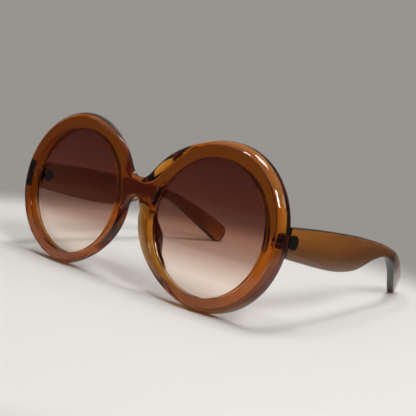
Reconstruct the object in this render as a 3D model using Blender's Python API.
"""Round acetate sunglasses as separate pieces, at their real size.

Units are metres and +Z is up. The glasses stand open on a flat surface, on the bottoms of
the two rims and on the two ear ends. The lenses look towards -Y, the arms run towards +Y,
and +X is the wearer's left. Pieces named left are on that side.

The front is drawn flat first: x across from the bridge, z up from the height of the rims'
centres, y as depth behind the front face. Then it is bent towards the temples, dished, and
leaned back, all by one function, so that the frame, the lenses and the pads keep together.
"""

import math

import bmesh
import bpy
from mathutils import Matrix, Vector

# Lens openings in the flat drawing, their groove and the lens
OPENING_RADIUS = 0.0274
OPENING_NASAL_X = 0.0100
OPENING_DROP = 0.0010
GROOVE_DEPTH = 0.0009
LENS_SETBACK = 0.0033
LENS_THICKNESS = 0.0018
CLEARANCE = 0.0003

# Outline of the rims round the openings, and of the bridge
RIM_SHIFT_OUT = 0.0028
RIM_SIDE_WIDTH = 0.0044
RIM_TOP_WIDTH = 0.0063
RIM_DEPTH = 0.0062
BEVEL_DEPTH = 0.0019
OUTER_SIDE_LAND = 0.0008
BEVEL_DEEPENS_FROM_SHARE = 0.18
BEVEL_DEEPENS_TO_SHARE = 0.64
BACK_ROUND = 0.0008

BRIDGE_TOP = 0.0118
BROW_PULL_AT_BRIDGE = 0.0082
BROW_PULL_AT_RIM_SHARE = 0.89
BROW_JOINS_RIM_DEG = 105.0

ARCH_TOP = 0.0030
ARCH_HALF_WIDTH = 0.0031
ARCH_FOOT = -0.0025
NOSE_PULL_AT_ARCH = 0.0154
NOSE_PULL_AT_RIM_SHARE = 0.415
NOSE_JOINS_RIM_DEG = 262.0

# The back of the front is cut lower at the brow and wider at the nose, so those sides slope
BACK_BRIDGE_TOP = 0.0100
BACK_BROW_PULL_AT_BRIDGE = 0.0112
BACK_BROW_PULL_AT_RIM_SHARE = 0.66
BACK_ARCH_TOP = 0.0029
BACK_ARCH_HALF_WIDTH = 0.0077
BACK_ARCH_FOOT = -0.0016
BACK_NOSE_PULL_AT_ARCH = 0.0152
BACK_NOSE_PULL_AT_RIM_SHARE = 0.305

# Crest: the line where the flat face ends and the rounded outer bevel starts
CREST_SHIFT_OUT = 0.0013
CREST_DROP = 0.0003
CREST_SIDE_WIDTH = 0.0032
CREST_TOP_WIDTH = 0.0040
CREST_BRIDGE_TOP = 0.0102
CREST_BROW_PULL_AT_BRIDGE = 0.0110
CREST_BROW_PULL_AT_RIM_SHARE = 0.615
CREST_JOINS_RIM_DEG = 118.0
CREST_ARCH_TOP = 0.0043
CREST_ARCH_PULL = 0.0052
CREST_NOSE_PULL_SHARE = 0.27
CREST_NOSE_DEG = 200.0

# Bend, dish and lean of the whole front
FLAT_HALF_WIDTH = 0.0200
BEND_RADIUS = 0.520
DISH_RADIUS = 0.350
LEAN_DEG = 5.7

# Arms
TEMPLE_INSET = 0.0001
TEMPLE_THICKNESS = 0.0036
TEMPLE_HALF_HEIGHT = 0.0080
TEMPLE_CORNER = 0.0011
TEMPLE_SPAN = 0.1292
TEMPLE_RISE = 0.0007
TEMPLE_INWARD = 0.0130
TIP_RADIUS = 0.0053

# Nose pads: their height off the back face, how far they lean over the lens, and their foot
PAD_RISE = 0.0026
PAD_LEAN = 0.0024
PAD_BASE_WIDTH = 0.0018
PAD_REACH_SHARE = 0.56

# How high a pad stands and how far it leans, in even steps from its upper to its lower end
PAD_SHARES = (
    (0.14, 0.12),
    (0.45, 0.55),
    (0.82, 0.92),
    (1.00, 1.00),
    (0.95, 0.65),
    (0.65, 0.25),
    (0.34, 0.05),
    (0.12, 0.00),
)

# A pad's section from its inner foot over its edge to its outer foot: the share of its lean,
# of its foot's width, and of its rise
PAD_SECTION_SHARES = (
    (0.00, 0.0, 0.00),
    (0.45, 0.0, 0.62),
    (0.82, 0.0, 0.93),
    (1.00, 0.0, 1.00),
    (1.00, 0.3, 0.80),
    (0.60, 0.5, 0.40),
    (0.00, 1.0, 0.00),
)

# Hinges: sizes along the back face, off it, and along the pin
HINGE_INSET = 0.0055
HINGE_RISE = 0.0011
PIN_STANDOFF = 0.0019
KNUCKLE_RADIUS = 0.0015
KNUCKLE_HEIGHT = 0.0015
MIDDLE_KNUCKLE_HEIGHT = 0.0018
LEAF_START = 0.0003
LEAF_LENGTH = 0.0037
LEAF_THICKNESS = 0.0012
SCREW_RADIUS = 0.0006
SCREW_HEAD_RADIUS = 0.00125
SCREW_HEAD_HEIGHT = 0.0005
SCREW_SLOT_WIDTH = 0.0004
PLATE_RADIUS = 0.00275
PLATE_CENTRE = 0.0046
PLATE_THICKNESS = 0.0015
PLATE_SINK = 0.0007
PLATE_HOLE_RADIUS = 0.0006
PLATE_HOLE_OFFSET = 0.0013
CUT_OVERRUN = 0.0010

# The arm's middle line from the front to the ear end: how far along it is, how high between
# the tip's centre and the butt, its half height, and how far it has curved inward
TEMPLE_SHARES = (
    (0.00, 0.980, 0.75, 0.00),
    (0.09, 0.925, 0.85, 0.00),
    (0.20, 0.855, 0.95, 0.00),
    (0.31, 0.790, 1.00, 0.00),
    (0.42, 0.745, 0.95, 0.04),
    (0.49, 0.738, 0.81, 0.08),
    (0.56, 0.744, 0.60, 0.12),
    (0.64, 0.728, 0.41, 0.17),
    (0.71, 0.675, 0.33, 0.22),
    (0.78, 0.565, 0.40, 0.31),
    (0.86, 0.380, 0.53, 0.52),
    (0.93, 0.200, 0.62, 0.76),
    (1.00, 0.000, TIP_RADIUS / TEMPLE_HALF_HEIGHT, 1.00),
)
TIP_ANGLES_DEG = (18.0, 36.0, 56.0, 74.0)

# Counts of the faceting
BROW_STEPS = 10
RIM_STEPS = 40
NOSE_STEPS = 12
ARCH_STEPS = 5
SEAM_STEPS = 3
BEVEL_STEPS = 4
BEVEL_START_DEG = 15.0
LENS_SEGMENTS = 48
LENS_RING_SHARES = (0.25, 0.5, 0.75, 1.0)
STEPS_PER_PAD_SHARE = 2
STEPS_PER_TEMPLE_SHARE = 2
HEADING_STEP_SHARE = 0.05
CORNER_STEPS = 2
ROUND_SEGMENTS = 20
WELD_DISTANCE = 0.00001

LEAN = math.radians(LEAN_DEG)
OPENING_X = OPENING_NASAL_X + OPENING_RADIUS
OPENING_CENTRE = Vector((OPENING_X, 0, -OPENING_DROP))
TEMPLE_OUTER_X = OPENING_X + RIM_SHIFT_OUT + OPENING_RADIUS + RIM_SIDE_WIDTH - TEMPLE_INSET
HINGE_X = TEMPLE_OUTER_X - HINGE_INSET
GROOVE_START = LENS_SETBACK - CLEARANCE
GROOVE_END = LENS_SETBACK + LENS_THICKNESS + CLEARANCE
GROOVE_RADIUS = OPENING_RADIUS + GROOVE_DEPTH
LENS_RADIUS = GROOVE_RADIUS - CLEARANCE


def clear_scene():
    """Remove whatever the file opened with."""
    for obj in list(bpy.data.objects):
        bpy.data.objects.remove(obj, do_unlink=True)


def material(name, colour, roughness, metallic=0.0, alpha=1.0):
    """Return a Principled material with one colour (linear RGB)."""
    mat = bpy.data.materials.new(name)
    mat.use_nodes = True
    shader = mat.node_tree.nodes["Principled BSDF"]
    shader.inputs["Base Color"].default_value = (*colour, 1.0)
    shader.inputs["Roughness"].default_value = roughness
    shader.inputs["Metallic"].default_value = metallic
    shader.inputs["Alpha"].default_value = alpha
    return mat


def bend(x, z):
    """Return how far behind the flat drawing a point of the front lies."""
    beyond_flat = max(0.0, abs(x) - FLAT_HALF_WIDTH)
    return beyond_flat ** 2 / (2 * BEND_RADIUS) + z ** 2 / (2 * DISH_RADIUS)


def lean(point):
    """Turn a point about the line through the rims' centres, so that the tops go back."""
    return Matrix.Rotation(-LEAN, 3, "X") @ Vector(point)


def place_on_front(point):
    """Bend and lean a point of the flat drawing (x across, y depth, z up)."""
    return lean((point.x, point.y + bend(point.x, point.z), point.z))


def back_face_y(x, z, behind):
    """Return the y of the leaned back face, moved back by behind, at a real x and height z."""
    depth = RIM_DEPTH + behind + bend(x, z)
    along = (z + depth * math.sin(LEAN)) / math.cos(LEAN)
    return depth * math.cos(LEAN) + along * math.sin(LEAN)


def bezier(start, start_handle, end_handle, end, steps):
    """Return the points of a cubic curve, without its last one."""
    points = []
    for step in range(steps):
        t = step / steps
        s = 1 - t
        points.append(
            s ** 3 * start + 3 * s * s * t * start_handle + 3 * s * t * t * end_handle + t ** 3 * end
        )
    return points


def flat(x, z):
    """Return a point of the flat drawing, on its front face."""
    return Vector((x, 0, z))


class Oval:
    """An ellipse of the flat drawing, with its points and its directions by angle."""

    def __init__(self, centre_x, centre_z, half_width, half_height):
        self.centre = flat(centre_x, centre_z)
        self.half_width = half_width
        self.half_height = half_height

    def point(self, degrees):
        angle = math.radians(degrees)
        reach = flat(self.half_width * math.cos(angle), self.half_height * math.sin(angle))
        return self.centre + reach

    def direction(self, degrees):
        angle = math.radians(degrees)
        way = flat(-self.half_width * math.sin(angle), self.half_height * math.cos(angle))
        return way.normalized()

    def arc(self, from_degrees, to_degrees, steps):
        span = to_degrees - from_degrees
        return [self.point(from_degrees + span * step / steps) for step in range(steps)]


RIM = Oval(
    OPENING_X + RIM_SHIFT_OUT, 0, OPENING_RADIUS + RIM_SIDE_WIDTH, OPENING_RADIUS + RIM_TOP_WIDTH
)
CREST = Oval(
    OPENING_X + CREST_SHIFT_OUT,
    -CREST_DROP,
    OPENING_RADIUS + CREST_SIDE_WIDTH,
    OPENING_RADIUS + CREST_TOP_WIDTH,
)


def brow_curve(oval, top, bridge_pull, rim_pull_share, joins_deg):
    """Return the line from the top of the bridge up to the rim."""
    joint = oval.point(joins_deg)
    return bezier(
        flat(0, top),
        flat(bridge_pull, top),
        joint + rim_pull_share * oval.half_height * oval.direction(joins_deg),
        joint,
        BROW_STEPS,
    )


def nose_curve(arch_half_width, arch_foot, arch_pull, rim_pull_share):
    """Return the line from the foot of the nose arch down to the rim."""
    joint = RIM.point(NOSE_JOINS_RIM_DEG)
    return bezier(
        flat(arch_half_width, arch_foot),
        flat(arch_half_width, arch_foot - arch_pull),
        joint - rim_pull_share * RIM.half_height * RIM.direction(NOSE_JOINS_RIM_DEG),
        joint,
        NOSE_STEPS,
    )


def arch_curve(top, half_width, foot):
    """Return the quarter of the nose arch from its top down to its foot."""
    roundness = 4 * (math.sqrt(2) - 1) / 3
    corner = flat(half_width, top)
    start = flat(0, top)
    end = flat(half_width, foot)
    return bezier(
        start,
        start.lerp(corner, roundness),
        end.lerp(corner, roundness),
        end,
        ARCH_STEPS,
    )


def half_outline(brow, nose, arch):
    """Return half the outline, from the top of the bridge round the rim to the nose arch."""
    rim = RIM.arc(BROW_JOINS_RIM_DEG, NOSE_JOINS_RIM_DEG - 360, RIM_STEPS)
    return brow + rim + [RIM.point(NOSE_JOINS_RIM_DEG)] + nose[::-1] + arch[::-1]


def front_outline():
    """Return half the outline of the front face's side."""
    brow = brow_curve(RIM, BRIDGE_TOP, BROW_PULL_AT_BRIDGE, BROW_PULL_AT_RIM_SHARE, BROW_JOINS_RIM_DEG)
    nose = nose_curve(ARCH_HALF_WIDTH, ARCH_FOOT, NOSE_PULL_AT_ARCH, NOSE_PULL_AT_RIM_SHARE)
    return half_outline(brow, nose, arch_curve(ARCH_TOP, ARCH_HALF_WIDTH, ARCH_FOOT))


def back_nose():
    """Return the nose side of the back outline, from the arch's foot down to the rim."""
    return nose_curve(
        BACK_ARCH_HALF_WIDTH,
        BACK_ARCH_FOOT,
        BACK_NOSE_PULL_AT_ARCH,
        BACK_NOSE_PULL_AT_RIM_SHARE,
    )


def back_outline():
    """Return half the outline at the back face, with as many points."""
    brow = brow_curve(
        RIM,
        BACK_BRIDGE_TOP,
        BACK_BROW_PULL_AT_BRIDGE,
        BACK_BROW_PULL_AT_RIM_SHARE,
        BROW_JOINS_RIM_DEG,
    )
    arch = arch_curve(BACK_ARCH_TOP, BACK_ARCH_HALF_WIDTH, BACK_ARCH_FOOT)
    return half_outline(brow, back_nose(), arch)


def half_crest():
    """Return the crest line, with as many points as the outline."""
    brow = brow_curve(
        CREST,
        CREST_BRIDGE_TOP,
        CREST_BROW_PULL_AT_BRIDGE,
        CREST_BROW_PULL_AT_RIM_SHARE,
        CREST_JOINS_RIM_DEG,
    )
    rim = CREST.arc(CREST_JOINS_RIM_DEG, NOSE_JOINS_RIM_DEG - 360, RIM_STEPS)
    nose = CREST.arc(NOSE_JOINS_RIM_DEG, CREST_NOSE_DEG, NOSE_STEPS)
    joint = CREST.point(CREST_NOSE_DEG)
    arch = bezier(
        flat(0, CREST_ARCH_TOP),
        flat(CREST_ARCH_PULL, CREST_ARCH_TOP),
        joint - CREST_NOSE_PULL_SHARE * CREST.half_height * CREST.direction(CREST_NOSE_DEG),
        joint,
        ARCH_STEPS,
    )
    return brow + rim + nose + [joint] + arch[::-1]


def inset(points, distance):
    """Move an outline towards the lens by a distance, square to itself."""
    moved = []
    last = len(points) - 1
    for index, point in enumerate(points):
        before = points[max(index - 1, 0)]
        after = points[min(index + 1, last)]
        way = (after - before).normalized()
        inward = Vector((way.z, 0, -way.x))
        if index in (0, last):
            inward = Vector((0, 0, math.copysign(1.0, inward.z)))
        moved.append(point + distance * inward)
    return moved


def at_depth(points, depth):
    """Return outline points set back from the front face."""
    return [Vector((point.x, depth, point.z)) for point in points]


def sunk(points, down):
    """Return outline points at a share of the bevel's depth, which grows from nose to side."""
    lowered = []
    for point in points:
        across = (point.x - OPENING_NASAL_X) / (2 * OPENING_RADIUS)
        span = BEVEL_DEEPENS_TO_SHARE - BEVEL_DEEPENS_FROM_SHARE
        share = min(max((across - BEVEL_DEEPENS_FROM_SHARE) / span, 0), 1)
        smooth = share ** 2 * (3 - 2 * share)
        outer_depth = RIM_DEPTH - BACK_ROUND - OUTER_SIDE_LAND
        depth = BEVEL_DEPTH + (outer_depth - BEVEL_DEPTH) * smooth
        lowered.append(Vector((point.x, depth * down, point.z)))
    return lowered


def seam(top, bottom):
    """Return the points between two ends of a half outline, up the middle of the bridge."""
    return [bottom.lerp(top, step / SEAM_STEPS) for step in range(1, SEAM_STEPS)]


def line_of(bm, points):
    """Add a line of vertices."""
    return [bm.verts.new(point) for point in points]


def skin(bm, lines, closed):
    """Join lines with as many vertices each by rows of four-sided faces."""
    for near, far in zip(lines, lines[1:]):
        corners = list(zip(near, far))
        pairs = list(zip(corners, corners[1:]))
        if closed:
            pairs.append((corners[-1], corners[0]))
        for (near_start, far_start), (near_end, far_end) in pairs:
            bm.faces.new((near_start, near_end, far_end, far_start))


def cap(bm, lines):
    """Close the first and the last of a row of rings."""
    bm.faces.new(lines[0])
    bm.faces.new(lines[-1])


def finish_mesh(bm, name):
    """Weld, point the faces outward and return the mesh."""
    bmesh.ops.remove_doubles(bm, verts=bm.verts, dist=WELD_DISTANCE)
    bmesh.ops.recalc_face_normals(bm, faces=bm.faces)
    mesh = bpy.data.meshes.new(name)
    bm.to_mesh(mesh)
    bm.free()
    return mesh


def add_object(name, mesh, mat, smooth_deg=30.0):
    """Put a mesh in the scene under its own name."""
    mesh.materials.append(mat)
    mesh.shade_smooth()
    mesh.set_sharp_from_angle(angle=math.radians(smooth_deg))
    obj = bpy.data.objects.new(name, mesh)
    bpy.context.scene.collection.objects.link(obj)
    return obj


def apply_boolean(obj, cutter, operation):
    """Cut or join two objects and drop the second."""
    modifier = obj.modifiers.new(operation.lower(), "BOOLEAN")
    modifier.operation = operation
    modifier.solver = "EXACT"
    modifier.object = cutter
    bpy.context.view_layer.update()
    evaluated = obj.evaluated_get(bpy.context.evaluated_depsgraph_get())
    result = bpy.data.meshes.new_from_object(evaluated)
    obj.modifiers.remove(modifier)
    obj.data = result
    bpy.data.objects.remove(cutter, do_unlink=True)
    return obj


def front_frame_mesh():
    """Return the front: both rims and the bridge, in one piece."""
    outline = front_outline()
    back = back_outline()
    crest = half_crest()
    back_face = inset(back, BACK_ROUND)

    def opening(radius, depth):
        points = []
        for point in crest + seam(crest[0], crest[-1]):
            way = (point - OPENING_CENTRE).normalized()
            points.append(OPENING_CENTRE + radius * way + Vector((0, depth, 0)))
        return points

    bm = bmesh.new()
    crest_line = line_of(bm, crest)
    side_lines = [crest_line]
    start = math.radians(BEVEL_START_DEG)
    for step in range(1, BEVEL_STEPS + 1):
        angle = start + (math.pi / 2 - start) * step / BEVEL_STEPS
        out = (math.sin(angle) - math.sin(start)) / (1 - math.sin(start))
        down = (math.cos(start) - math.cos(angle)) / math.cos(start)
        points = [a.lerp(b, out) for a, b in zip(crest, outline)]
        side_lines.append(line_of(bm, sunk(points, down)))
    side_lines.append(line_of(bm, at_depth(back, RIM_DEPTH - BACK_ROUND)))
    back_line = line_of(bm, at_depth(back_face, RIM_DEPTH))
    side_lines.append(back_line)
    skin(bm, side_lines, closed=False)

    wall = [
        line_of(bm, opening(OPENING_RADIUS, 0)),
        line_of(bm, opening(OPENING_RADIUS, GROOVE_START)),
        line_of(bm, opening(GROOVE_RADIUS, GROOVE_START)),
        line_of(bm, opening(GROOVE_RADIUS, GROOVE_END)),
        line_of(bm, opening(OPENING_RADIUS, GROOVE_END)),
        line_of(bm, opening(OPENING_RADIUS, RIM_DEPTH)),
    ]
    skin(bm, wall, closed=True)
    for half_line, hole in ((crest_line, wall[0]), (back_line, wall[-1])):
        middle = line_of(bm, seam(half_line[0].co, half_line[-1].co))
        skin(bm, [half_line + middle, hole], closed=True)
    geometry = bm.verts[:] + bm.edges[:] + bm.faces[:]
    bmesh.ops.mirror(bm, geom=geometry, axis="X", merge_dist=WELD_DISTANCE)
    for vert in bm.verts:
        vert.co = place_on_front(vert.co)
    return finish_mesh(bm, "front_frame")


def lens_mesh(side):
    """Return one lens, a thin disc that follows the bend of the front."""
    bm = bmesh.new()

    def circle(share, depth):
        points = []
        for step in range(LENS_SEGMENTS):
            angle = 2 * math.pi * step / LENS_SEGMENTS
            reach = LENS_RADIUS * share * Vector((math.cos(angle), 0, math.sin(angle)))
            points.append(OPENING_CENTRE + reach + Vector((0, depth, 0)))
        return points

    back = LENS_SETBACK + LENS_THICKNESS
    layers = [(share, LENS_SETBACK) for share in LENS_RING_SHARES]
    layers += [(share, back) for share in reversed(LENS_RING_SHARES)]
    rings = [line_of(bm, circle(share, depth)) for share, depth in layers]
    skin(bm, rings, closed=True)
    cap(bm, rings)
    for vert in bm.verts:
        vert.co.x *= side
        vert.co = place_on_front(vert.co)
    return finish_mesh(bm, "lens")


def nose_pad_mesh(side):
    """Return one nose pad: a low wing on the back of the front, leaning over the lens."""
    base_line = inset(back_nose(), -BACK_ROUND)
    foot = RIM_DEPTH + CLEARANCE
    last = len(PAD_SHARES) - 1
    bm = bmesh.new()
    rings = []
    for step in range(last * STEPS_PER_PAD_SHARE + 1):
        place = step / STEPS_PER_PAD_SHARE
        rise_share, lean_share = smooth_between(PAD_SHARES, place)
        spot = place / last * PAD_REACH_SHARE * (len(base_line) - 1)
        index = int(spot)
        base = base_line[index].lerp(base_line[index + 1], spot - index)
        way = (base_line[index + 1] - base_line[index]).normalized()
        inward = Vector((-way.z, 0, way.x))
        points = []
        for of_lean, of_width, of_rise in PAD_SECTION_SHARES:
            across = of_lean * lean_share * PAD_LEAN + of_width * PAD_BASE_WIDTH
            up = of_rise * rise_share * PAD_RISE
            points.append(base + across * inward + Vector((0, foot + up, 0)))
        rings.append(line_of(bm, points))
    skin(bm, rings, closed=True)
    cap(bm, rings)
    for vert in bm.verts:
        vert.co.x *= side
        vert.co = place_on_front(vert.co)
    return finish_mesh(bm, "nose_pad")


def smooth_between(rows, place):
    """Read a table of shares at a place between its rows, along a smooth curve."""
    index = min(int(place), len(rows) - 2)
    t = place - index
    values = []
    for column in range(len(rows[0])):
        near, far = rows[index][column], rows[index + 1][column]
        before = rows[max(index - 1, 0)][column]
        after = rows[min(index + 2, len(rows) - 1)][column]
        near_slope = (far - before) / 2
        far_slope = (after - near) / 2
        values.append(
            (2 * t ** 3 - 3 * t ** 2 + 1) * near
            + (t ** 3 - 2 * t ** 2 + t) * near_slope
            + (3 * t ** 2 - 2 * t ** 3) * far
            + (t ** 3 - t ** 2) * far_slope
        )
    return values


def floor_height():
    """Return the height of the surface under the rims, seen from their centres."""
    back = at_depth(inset(RIM.arc(0, -360, 4 * RIM_STEPS), BACK_ROUND), RIM_DEPTH)
    edge = at_depth(RIM.arc(0, -360, 4 * RIM_STEPS), RIM_DEPTH - BACK_ROUND)
    return min(place_on_front(point).z for point in back + edge)


def temple_mesh():
    """Return the left arm, measured from the rims' centre line."""
    butt_y = back_face_y(TEMPLE_OUTER_X, TEMPLE_RISE, CLEARANCE)
    tip_z = floor_height() + TIP_RADIUS

    def middle(place):
        along, height, half, inward = smooth_between(TEMPLE_SHARES, place)
        x = TEMPLE_OUTER_X - TEMPLE_THICKNESS / 2 - TEMPLE_INWARD * inward
        z = tip_z + (TEMPLE_RISE - tip_z) * height
        return Vector((x, butt_y + TEMPLE_SPAN * along, z)), TEMPLE_HALF_HEIGHT * half

    rows = len(TEMPLE_SHARES) - 1
    stations = []
    for step in range(rows * STEPS_PER_TEMPLE_SHARE + 1):
        place = step / STEPS_PER_TEMPLE_SHARE
        centre, half = middle(place)
        ahead, _ = middle(min(place + HEADING_STEP_SHARE, rows))
        behind, _ = middle(max(place - HEADING_STEP_SHARE, 0))
        stations.append((centre, (ahead - behind).normalized(), half, TEMPLE_THICKNESS / 2))
    tip_centre, tip_way = stations[-1][0], stations[-1][1]
    for degrees in TIP_ANGLES_DEG:
        angle = math.radians(degrees)
        centre = tip_centre + TIP_RADIUS * math.sin(angle) * tip_way
        thin = (1 + math.cos(angle)) / 2
        stations.append((centre, tip_way, TIP_RADIUS * math.cos(angle), thin * TEMPLE_THICKNESS / 2))

    bm = bmesh.new()
    rings = []
    for number, (centre, way, half, half_thick) in enumerate(stations):
        up = Vector((1, 0, 0)).cross(way).normalized()
        out = way.cross(up).normalized()
        corner = min(TEMPLE_CORNER, half / 2, half_thick / 2)
        points = []
        for quarter, (sign_out, sign_up) in enumerate(((1, 1), (-1, 1), (-1, -1), (1, -1))):
            for step in range(CORNER_STEPS + 1):
                angle = math.pi / 2 * (quarter + step / CORNER_STEPS)
                across = sign_out * (half_thick - corner) + corner * math.cos(angle)
                rise = sign_up * (half - corner) + corner * math.sin(angle)
                points.append(centre + across * out + rise * up)
        if number == 0:
            for point in points:
                point.y = back_face_y(point.x, point.z, CLEARANCE)
        rings.append(line_of(bm, points))
    skin(bm, rings, closed=True)
    cap(bm, rings)
    return finish_mesh(bm, "temple")


def hinge_centre():
    """Return the middle of the left hinge pin, seen from the rims' centre line."""
    depth = RIM_DEPTH + PIN_STANDOFF + bend(HINGE_X, HINGE_RISE)
    return lean((HINGE_X, depth, HINGE_RISE))


def hinge_turn():
    """Return the slope of the back face at the hinge."""
    return math.atan((HINGE_X - FLAT_HALF_WIDTH) / BEND_RADIUS)


def box_object(name, low, high):
    """Return a box between two corners."""
    bm = bmesh.new()
    bmesh.ops.create_cube(bm, size=1)
    size = Vector(high) - Vector(low)
    bmesh.ops.scale(bm, verts=bm.verts, vec=size)
    bmesh.ops.translate(bm, verts=bm.verts, vec=(Vector(high) + Vector(low)) / 2)
    return loose_object(name, bm)


def rod_object(name, centre, radius, low, high, axis="Z"):
    """Return an upright rod, or one along X, from low to high."""
    bm = bmesh.new()
    bmesh.ops.create_cone(
        bm,
        cap_ends=True,
        segments=ROUND_SEGMENTS,
        radius1=radius,
        radius2=radius,
        depth=high - low,
    )
    bmesh.ops.translate(bm, verts=bm.verts, vec=(0, 0, (low + high) / 2))
    if axis == "X":
        bmesh.ops.rotate(bm, verts=bm.verts, matrix=Matrix.Rotation(math.pi / 2, 3, "Y"))
    bmesh.ops.translate(bm, verts=bm.verts, vec=centre)
    return loose_object(name, bm)


def loose_object(name, bm):
    """Put a working mesh in the scene without a material."""
    mesh = finish_mesh(bm, name)
    obj = bpy.data.objects.new(name, mesh)
    bpy.context.scene.collection.objects.link(obj)
    return obj


def take_mesh(obj):
    """Return an object's mesh and drop the object."""
    mesh = obj.data
    bpy.data.objects.remove(obj, do_unlink=True)
    return mesh


def front_leaf():
    """Return the front leaf about its pin: a sunk plate with an upper and a lower knuckle."""
    half_middle = MIDDLE_KNUCKLE_HEIGHT / 2
    inner = half_middle + CLEARANCE
    outer = inner + KNUCKLE_HEIGHT
    leaf_end = LEAF_START + LEAF_LENGTH
    plate_low = (LEAF_START, -PIN_STANDOFF - LEAF_THICKNESS, -outer)
    leaf = box_object("leaf", plate_low, (leaf_end, -PIN_STANDOFF, outer))
    for low, high in ((inner, outer), (-outer, -inner)):
        web_low = (LEAF_START, -PIN_STANDOFF - LEAF_THICKNESS / 2, low)
        web = box_object("web", web_low, (KNUCKLE_RADIUS, 0, high))
        leaf = apply_boolean(leaf, web, "UNION")
        knuckle = rod_object("knuckle", (0, 0, 0), KNUCKLE_RADIUS, low, high)
        leaf = apply_boolean(leaf, knuckle, "UNION")
    bore_end = outer + CUT_OVERRUN
    bore = rod_object("bore", (0, 0, 0), SCREW_RADIUS + CLEARANCE, -bore_end, bore_end)
    return take_mesh(apply_boolean(leaf, bore, "DIFFERENCE"))


def front_leaf_seat():
    """Return the cutter for the leaf's seat in the back of the front."""
    outer = MIDDLE_KNUCKLE_HEIGHT / 2 + CLEARANCE + KNUCKLE_HEIGHT
    low = (
        LEAF_START - CLEARANCE,
        -PIN_STANDOFF - LEAF_THICKNESS - CLEARANCE,
        -outer - CLEARANCE,
    )
    high = (
        LEAF_START + LEAF_LENGTH + CLEARANCE,
        -PIN_STANDOFF + CUT_OVERRUN,
        outer + CLEARANCE,
    )
    return box_object("seat", low, high)


def plate_face():
    """Return where the arm's inner face lies, out from the pin."""
    return TEMPLE_OUTER_X - TEMPLE_THICKNESS - HINGE_X


def temple_leaf():
    """Return the arm's leaf about its pin: middle knuckle, arm and the round plate."""
    half = MIDDLE_KNUCKLE_HEIGHT / 2
    plate_out = plate_face() + PLATE_SINK
    plate_in = plate_out - PLATE_THICKNESS
    plate = rod_object("plate", (0, PLATE_CENTRE, 0), PLATE_RADIUS, plate_in, plate_out, axis="X")
    arm_high = (KNUCKLE_RADIUS, PLATE_CENTRE - PLATE_RADIUS / 2, half)
    arm = box_object("arm", (LEAF_START, 0, -half), arm_high)
    leaf = apply_boolean(plate, arm, "UNION")
    knuckle = rod_object("knuckle", (0, 0, 0), KNUCKLE_RADIUS, -half, half)
    leaf = apply_boolean(leaf, knuckle, "UNION")
    bore_end = half + CUT_OVERRUN
    bore = rod_object("bore", (0, 0, 0), SCREW_RADIUS + CLEARANCE, -bore_end, bore_end)
    leaf = apply_boolean(leaf, bore, "DIFFERENCE")
    for way in (1, -1):
        centre = (0, PLATE_CENTRE, way * PLATE_HOLE_OFFSET)
        low, high = plate_in - CUT_OVERRUN, plate_out + CUT_OVERRUN
        hole = rod_object("hole", centre, PLATE_HOLE_RADIUS, low, high, axis="X")
        leaf = apply_boolean(leaf, hole, "DIFFERENCE")
    return take_mesh(leaf)


def temple_leaf_seat():
    """Return the cutter for the round plate's seat in the arm."""
    low = plate_face() - CUT_OVERRUN
    high = plate_face() + PLATE_SINK + CLEARANCE
    return rod_object("seat", (0, PLATE_CENTRE, 0), PLATE_RADIUS + CLEARANCE, low, high, axis="X")


def hinge_screw():
    """Return the hinge screw about its own axis, with a slotted head on top."""
    end = MIDDLE_KNUCKLE_HEIGHT / 2 + CLEARANCE + KNUCKLE_HEIGHT
    head_low = end + CLEARANCE
    head_high = head_low + SCREW_HEAD_HEIGHT
    shaft = rod_object("shaft", (0, 0, 0), SCREW_RADIUS, -end, head_low + SCREW_HEAD_HEIGHT / 2)
    head = rod_object("head", (0, 0, 0), SCREW_HEAD_RADIUS, head_low, head_high)
    screw = apply_boolean(shaft, head, "UNION")
    reach = SCREW_HEAD_RADIUS + CUT_OVERRUN
    slot_low = (-reach, -SCREW_SLOT_WIDTH / 2, head_high - SCREW_HEAD_HEIGHT / 2)
    slot = box_object("slot", slot_low, (reach, SCREW_SLOT_WIDTH / 2, head_high + CUT_OVERRUN))
    return take_mesh(apply_boolean(screw, slot, "DIFFERENCE"))


def mirrored(mesh):
    """Return a copy of a mesh reflected to the other side."""
    bm = bmesh.new()
    bm.from_mesh(mesh)
    bmesh.ops.scale(bm, verts=bm.verts, vec=(-1, 1, 1))
    return finish_mesh(bm, mesh.name)


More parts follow.
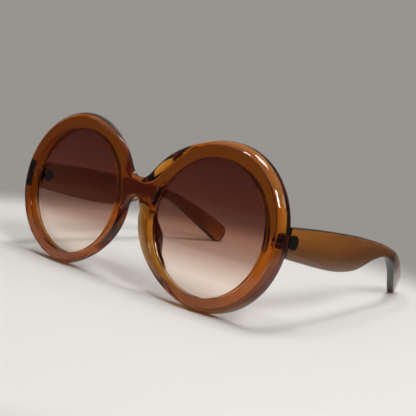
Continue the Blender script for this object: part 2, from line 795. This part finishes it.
def build():
    """Model every piece and set the glasses on the origin."""
    clear_scene()
    frame_plastic = material("brown_acetate", (0.18, 0.055, 0.012), 0.15, alpha=0.9)
    arm_plastic = material("brown_acetate_arm", (0.22, 0.085, 0.025), 0.15, alpha=0.9)
    lens_plastic = material("graded_brown_lens", (0.16, 0.035, 0.030), 0.05, alpha=0.6)
    pad_plastic = material("brown_acetate_pad", (0.12, 0.030, 0.010), 0.2, alpha=0.9)
    hinge_metal = material("dark_steel", (0.04, 0.04, 0.045), 0.35, metallic=1.0)

    origin = bpy.data.objects.new("glasses_origin", None)
    bpy.context.scene.collection.objects.link(origin)

    leaned_hinge = Matrix.Rotation(-LEAN, 4, "X")
    turned_hinge = leaned_hinge @ Matrix.Rotation(hinge_turn(), 4, "Z")

    frame = add_object("front_frame", front_frame_mesh(), frame_plastic)
    frame.parent = origin
    for name, side in (("left", 1), ("right", -1)):
        axis = bpy.data.objects.new("hinge_axis_" + name, None)
        bpy.context.scene.collection.objects.link(axis)
        centre = hinge_centre()
        axis.location = (side * centre.x, centre.y, centre.z)
        axis.parent = origin
        to_axis = Matrix.Translation(-axis.location)
        reflect = Matrix.Diagonal((side, 1, 1, 1))

        lens = add_object("lens_" + name, lens_mesh(side), lens_plastic)
        lens.parent = origin
        pad = add_object("nose_pad_" + name, nose_pad_mesh(side), pad_plastic)
        pad.parent = origin

        seat = front_leaf_seat()
        seat.data.transform(Matrix.Translation(axis.location) @ reflect @ turned_hinge)
        if side < 0:
            seat.data.flip_normals()
        apply_boolean(frame, seat, "DIFFERENCE")

        arm = temple_mesh()
        temple = add_object("temple_" + name, arm if side > 0 else mirrored(arm), arm_plastic)
        temple.data.transform(to_axis)
        seat = temple_leaf_seat()
        seat.data.transform(reflect @ leaned_hinge)
        if side < 0:
            seat.data.flip_normals()
        apply_boolean(temple, seat, "DIFFERENCE")
        temple.parent = axis

        pieces = (
            ("hinge_front_leaf_", front_leaf(), turned_hinge),
            ("hinge_temple_leaf_", temple_leaf(), leaned_hinge),
            ("hinge_screw_", hinge_screw(), leaned_hinge),
        )
        for title, mesh, turn in pieces:
            mesh.transform(turn)
            piece = add_object(title + name, mesh if side > 0 else mirrored(mesh), hinge_metal)
            piece.parent = axis

    bpy.context.view_layer.update()
    corners = [
        obj.matrix_world @ vert.co
        for obj in bpy.context.scene.objects
        if obj.type == "MESH"
        for vert in obj.data.vertices
    ]
    near = min(corner.y for corner in corners)
    far = max(corner.y for corner in corners)
    low = min(corner.z for corner in corners)
    origin.location = (0, -(near + far) / 2, -low)
    bpy.context.view_layer.update()


build()
